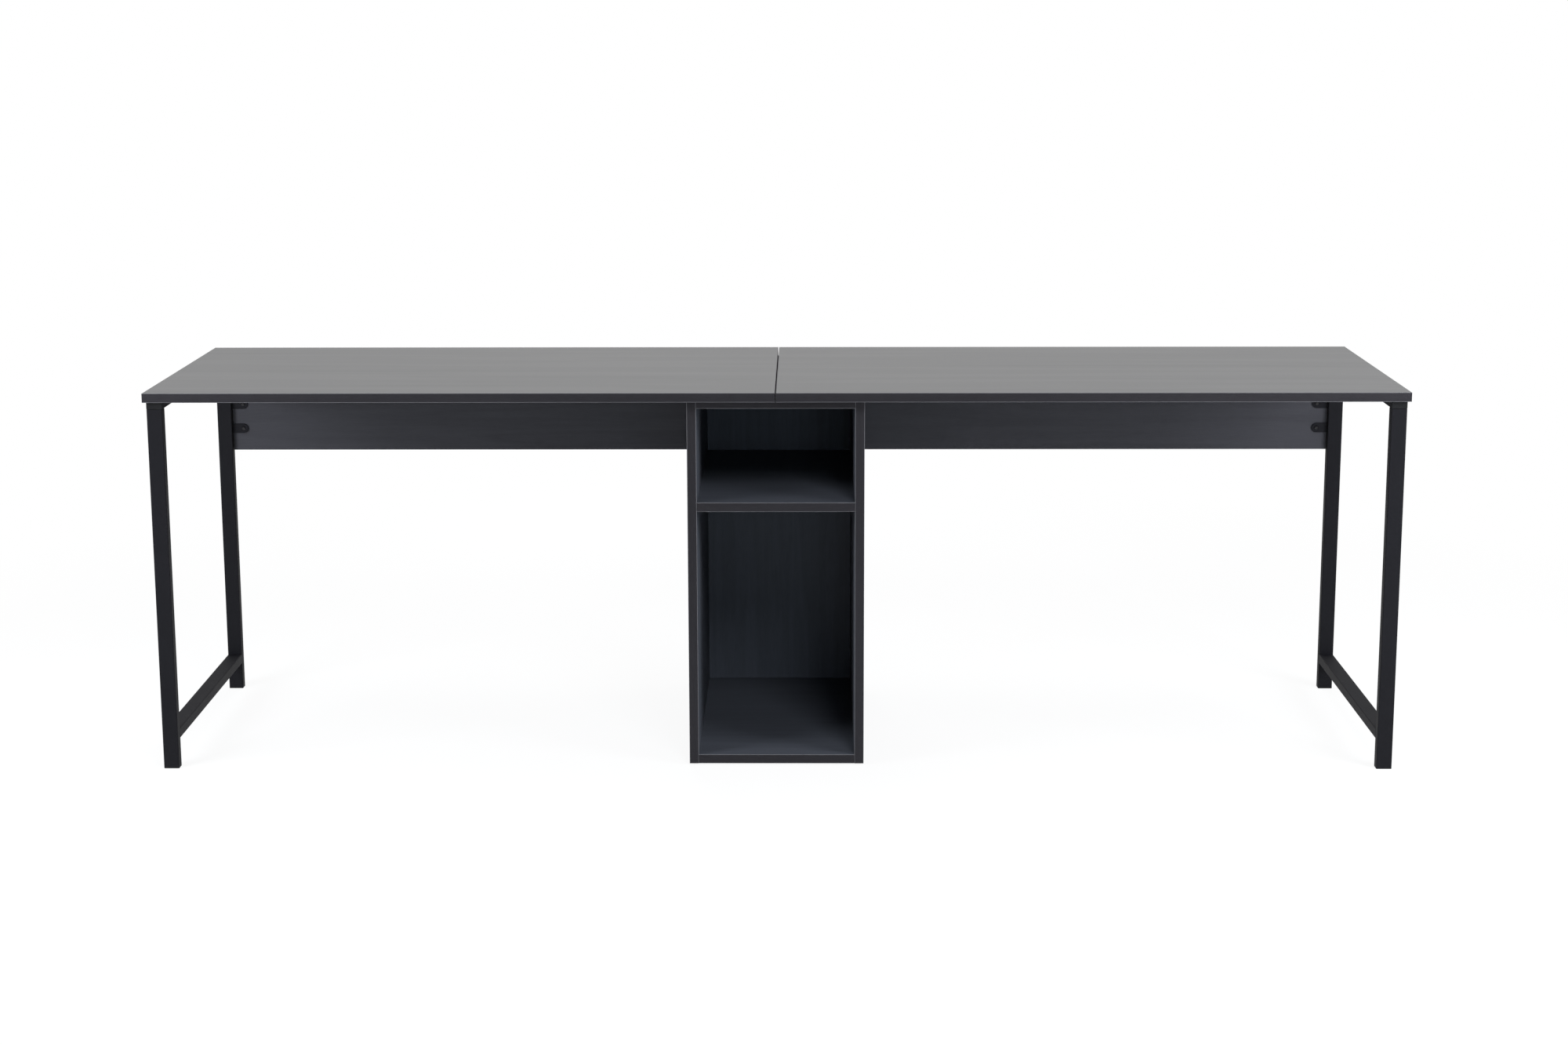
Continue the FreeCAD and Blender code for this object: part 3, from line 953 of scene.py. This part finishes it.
@dataclass
class Studio:
    """The floor, the white surroundings, the lamps and the camera."""

    image_width: float = 2000.0
    sensor: float = 36.0
    focal_pixels: float = 3175.99
    axis_above_middle: float = 97.86
    eye: tuple[float, float, float] = (0.05984, -4.93934, 1.50895)
    pitch: float = 0.1848
    yaw: float = -0.0094
    roll: float = -0.0024
    clip_end: float = 80.0
    floor_reach: float = 40.0
    floor_tone: float = 0.85
    floor_glow: float = 0.90
    shadow_reach: tuple[float, float] = (1.5, 2.6)
    ambient: float = 0.12
    room_glow: float = 0.35
    room_fade: tuple[float, float] = (-0.35, 0.15)
    lamps: tuple[SoftBox, ...] = (
        SoftBox("right_softbox", (2.3, -1.3, 1.15), (1.0, 0.2, 0.6), (1.0, 1.0), 66.0, SOFT_COOL),
        SoftBox("left_softbox", (-2.3, -1.3, 1.15), (-1.0, 0.2, 0.6), (1.0, 1.0), 58.0, SOFT_COOL),
        SoftBox("front_softbox", (0.9, -3.0, 2.7), (0.0, 0.0, 0.3), (1.0, 1.0), 70.0, SOFT_COOL),
        SoftBox("low_softbox", (0.5, -4.4, 0.9), (0.0, 0.0, 0.6), (1.2, 1.2), 27.0, COOL),
        SoftBox("rear_softbox", (-0.6, 3.4, 1.9), (0.0, 0.0, 0.5), (1.4, 1.4), 60.0),
        SoftBox("overhead_softbox", (0.5, 0.4, 3.6), (0.4, 0.0, 0.7), (4.0, 2.0), 66.0, shines=True),
    )

    def camera(self) -> None:
        """Sets the camera to the photograph's viewing angle."""
        data = bpy.data.cameras.new("camera")
        data.sensor_width = self.sensor
        data.lens = self.focal_pixels * self.sensor / self.image_width
        data.shift_y = -self.axis_above_middle / self.image_width
        data.clip_end = self.clip_end
        ahead = Vector(
            (
                math.sin(self.yaw) * math.cos(self.pitch),
                math.cos(self.yaw) * math.cos(self.pitch),
                -math.sin(self.pitch),
            )
        )
        level = Vector((math.cos(self.yaw), -math.sin(self.yaw), 0.0))
        upright = level.cross(ahead)
        right = level * math.cos(self.roll) + upright * math.sin(self.roll)
        up = upright * math.cos(self.roll) - level * math.sin(self.roll)
        seat = Matrix((right, up, -ahead)).transposed().to_4x4()
        made = bpy.data.objects.new("camera", data)
        made.matrix_world = Matrix.Translation(self.eye) @ seat
        bpy.context.scene.collection.objects.link(made)
        bpy.context.scene.camera = made

    def seen_directly(self, board: NodeBoard) -> NodeSocket:
        """Tells which rays see a surface as the viewer would.

        Args:
            board: where the nodes go.

        Returns:
            The socket that holds 1 on rays from the camera, a mirror or a glass, and 0 on the rest.
        """
        path = board.add("ShaderNodeLightPath").outputs
        mirrored = board.larger(path["Is Glossy Ray"], path["Is Transmission Ray"])
        return board.larger(path["Is Camera Ray"], mirrored)

    def floor(self) -> None:
        """Lays the pale floor, which shows white and keeps a soft shadow."""
        bm = bmesh.new()
        bmesh.ops.create_grid(bm, x_segments=1, y_segments=1, size=self.floor_reach)
        mesh = bpy.data.meshes.new("floor")
        bm.to_mesh(mesh)
        bm.free()
        made = bpy.data.objects.new("floor", mesh)
        bpy.context.scene.collection.objects.link(made)
        pale = bpy.data.materials.new("pale_floor")
        pale.use_nodes = True
        board = NodeBoard(pale.node_tree)
        pale.node_tree.nodes.clear()
        tone = (self.floor_tone, self.floor_tone, self.floor_tone, 1.0)
        matt = board.add("ShaderNodeBsdfDiffuse", Color=tone)
        glow = board.add("ShaderNodeEmission", Color=WHITE, Strength=1.0)
        place = board.add("ShaderNodeTexCoord").outputs["Object"]
        away = board.add("ShaderNodeVectorMath", Vector=place)
        away.operation = "LENGTH"
        near, far = self.shadow_reach
        glowing = board.add(
            "ShaderNodeMapRange",
            Value=away.outputs["Value"],
            From_Min=near,
            From_Max=far,
            To_Min=self.floor_glow,
            To_Max=1.0,
        )
        share = board.blend(self.seen_directly(board), 0.0, glowing.outputs[0])
        mix = board.add("ShaderNodeMixShader", Fac=share)
        board.feed(mix.inputs[FIRST_SHADER], matt.outputs[0])
        board.feed(mix.inputs[SECOND_SHADER], glow.outputs[0])
        board.add("ShaderNodeOutputMaterial", Surface=mix.outputs[0])
        mesh.materials.append(pale)

    def surroundings(self) -> None:
        """Makes the world white behind the desk, and dim in mirrors on the sitters' side."""
        world = bpy.data.worlds.new("white_studio")
        world.use_nodes = True
        bpy.context.scene.world = world
        board = NodeBoard(world.node_tree)
        path = board.add("ShaderNodeLightPath").outputs
        heading = board.add("ShaderNodeTexCoord").outputs["Generated"]
        depth = board.add("ShaderNodeSeparateXYZ", Vector=heading).outputs["Y"]
        near, far = self.room_fade
        reach = board.add(
            "ShaderNodeMapRange",
            Value=depth,
            From_Min=near,
            From_Max=far,
            To_Min=self.room_glow,
            To_Max=1.0,
        )
        lit = board.blend(path["Is Glossy Ray"], self.ambient, reach.outputs[0])
        shown = board.larger(path["Is Camera Ray"], path["Is Transmission Ray"])
        background = world.node_tree.nodes["Background"]
        background.inputs["Color"].default_value = WHITE
        board.feed(background.inputs["Strength"], board.blend(shown, lit, 1.0))

    def build(self) -> None:
        """Sets up the whole studio."""
        self.camera()
        self.floor()
        self.surroundings()
        for lamp in self.lamps:
            lamp.hang()
        bpy.context.scene.view_settings.view_transform = "Standard"


def clear_start() -> None:
    """Removes whatever the empty file held before the frame came in."""
    for old in STARTING_OBJECTS:
        bpy.data.objects.remove(old)


def main() -> None:
    """Builds the desk's looks and its studio."""
    logging.basicConfig(level=logging.INFO, format="%(name)s: %(message)s")
    clear_start()
    paint = Paintbox()
    paint.carry_over(frame["nodes"])
    builder = Builder(paint)
    for side in Side:
        Worktop(side, builder).build()
        EndFrame(side, builder).build()
        BackPanel(side, builder).build()
    ShelfUnit(builder).build()
    Studio().build()


if __name__ == "__main__":
    main()
